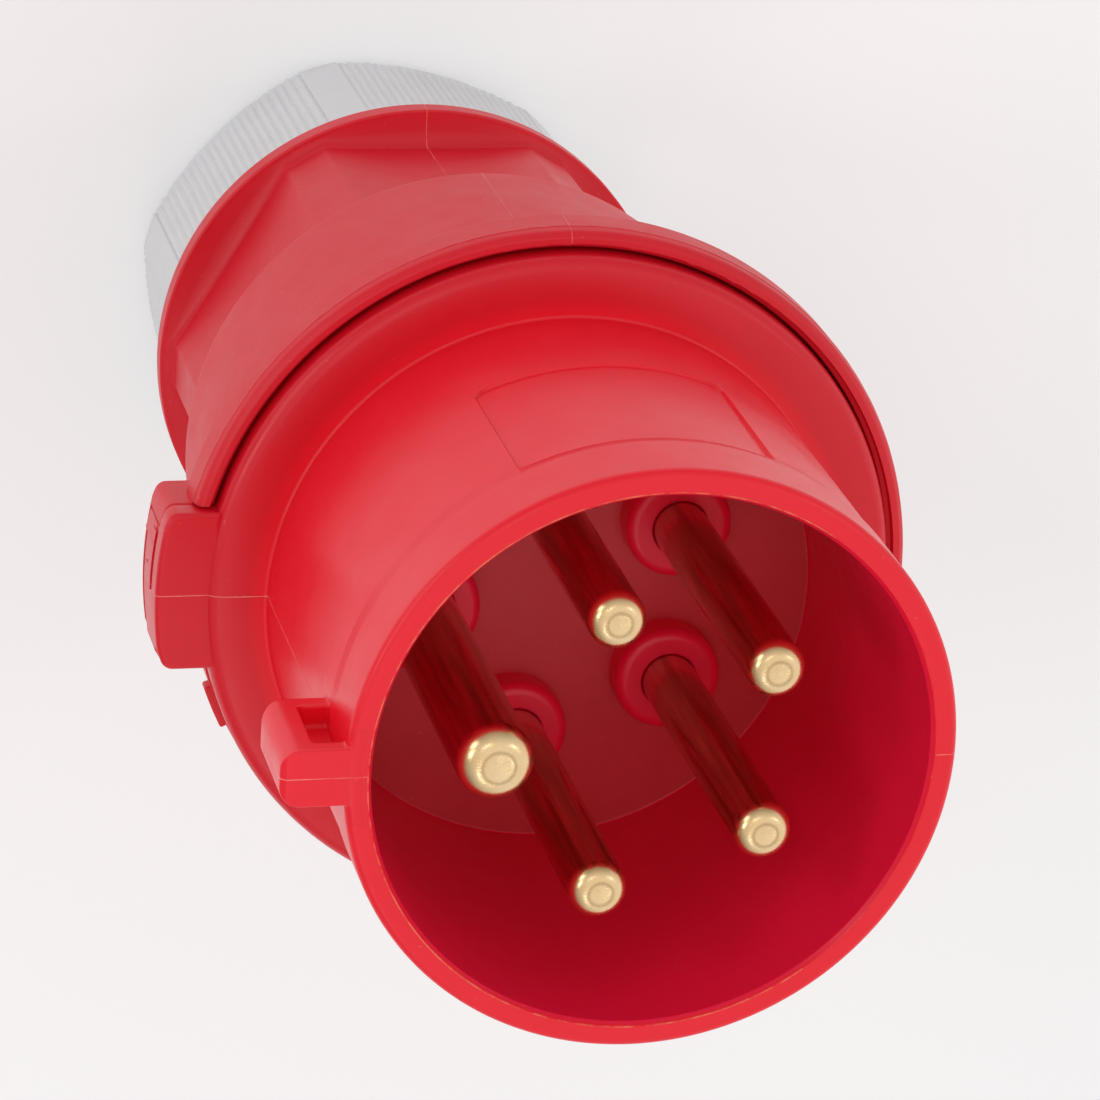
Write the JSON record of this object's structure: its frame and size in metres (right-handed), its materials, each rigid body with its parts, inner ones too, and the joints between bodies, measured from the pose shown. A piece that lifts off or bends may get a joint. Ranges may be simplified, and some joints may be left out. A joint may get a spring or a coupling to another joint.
{
  "type": "industrial pin and sleeve plug",
  "caption": "Round industrial power plug: red shroud with key and brass contact pins, two-part housing with a locking slide, wrench flats and a ribbed cable gland nut.",
  "frame": {"origin": "on the plug's axis, in the plane of the gland nut's rear face", "axes": "+Z along the plug's axis towards the mouth of the shroud, +X towards the key and the earth pin"},
  "size_m": [0.0841, 0.0804, 0.1535],
  "materials": {
    "red_plastic": "satin",
    "brass": "turned",
    "steel": "plated",
    "black_rubber": "matte",
    "dark_plastic": "matte",
    "grey_plastic": "satin",
    "steel_washer": "plain"
  },
  "bodies": {
    "housing": {"front_shell": "red_plastic", "rear_shell": "red_plastic", "earth_pin": "brass", "l1_pin": "brass", "l2_pin": "brass", "l3_pin": "brass", "neutral_pin": "brass", "earth_terminal_screw": "steel", "l1_terminal_screw": "steel", "l2_terminal_screw": "steel", "l3_terminal_screw": "steel", "neutral_terminal_screw": "steel", "carrier_screws": "steel", "contact_carrier": "dark_plastic", "housing_seal": "black_rubber", "gland_seal": "black_rubber", "clamping_cage": "dark_plastic"},
    "lock": {"locking_slide": "red_plastic"},
    "gland_ring": {"slip_washer": "steel_washer"},
    "nut": {"gland_nut": "grey_plastic"}
  },
  "joints": [
    {"name": "lock_slide", "type": "slide", "parent": "housing", "child": "lock", "axis": [0, 1, 0], "range_m": [0, 0.004]},
    {"name": "gland_travel", "type": "slide", "parent": "housing", "child": "gland_ring", "axis": [0, 0, 1], "range_m": [-0.0075, 0]},
    {"name": "nut_turn", "type": "hinge", "parent": "gland_ring", "child": "nut", "pos_m": [0, 0, 0.015], "axis": [0, 0, 1], "range_deg": [-900, 0]}
  ],
  "couplings": [
    {"joint": "gland_travel", "follows": "nut_turn", "m_per_rad": 0.00047746}
  ]
}
